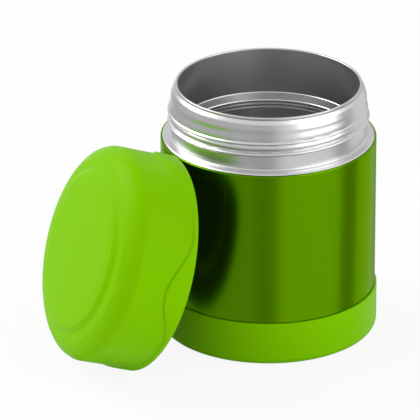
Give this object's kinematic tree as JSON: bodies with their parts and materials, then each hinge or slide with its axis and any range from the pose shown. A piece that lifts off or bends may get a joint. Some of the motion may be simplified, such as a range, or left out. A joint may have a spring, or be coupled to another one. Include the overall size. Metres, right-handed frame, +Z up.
{
  "type": "insulated food jar",
  "caption": "Double-walled steel food jar with a threaded neck, a moulded boot and a screw lid that leans beside it, open side in.",
  "frame": {"origin": "centre of the jar's foot, on the surface it stands on", "axes": "+Z up the jar's axis; -X towards the lid, whose own axis lies in a plane parallel to XZ; +Y away from the side that faces the viewer"},
  "size_m": [0.1396, 0.1031, 0.1035],
  "materials": {
    "painted_steel": "gloss candy green over steel",
    "bare_steel": "fine turned satin",
    "inner_steel": "dull electropolished",
    "foil": "bright foil",
    "getter_metal": "matt",
    "solder": "dull bead",
    "lime_plastic": "satin moulded",
    "liner_plastic": "smooth moulded",
    "foam": "closed cell foam",
    "silicone": "matt silicone"
  },
  "bodies": {
    "jar": {"outer_body": "painted_steel", "neck_ring": "bare_steel", "inner_vessel": "inner_steel", "foil_wrap": "foil", "getter": "getter_metal", "bottom_cap": "inner_steel", "seal_plug": "solder", "base_boot": "lime_plastic"},
    "seal": {"lid_gasket": "silicone"},
    "lid": {"lid_shell": "lime_plastic", "lid_liner": "liner_plastic", "lid_insulation": "foam"}
  },
  "joints": [
    {"name": "lid_lift", "type": "slide", "parent": "jar", "child": "seal", "axis": [-0.9468, 0, 0.3219], "range_m": [0, 0.12]},
    {"name": "lid_turn", "type": "hinge", "parent": "seal", "child": "lid", "pos_m": [-0.0565, -0.01594, 0.041], "axis": [-0.9468, 0, 0.3219], "range_deg": [0, 360]}
  ]
}
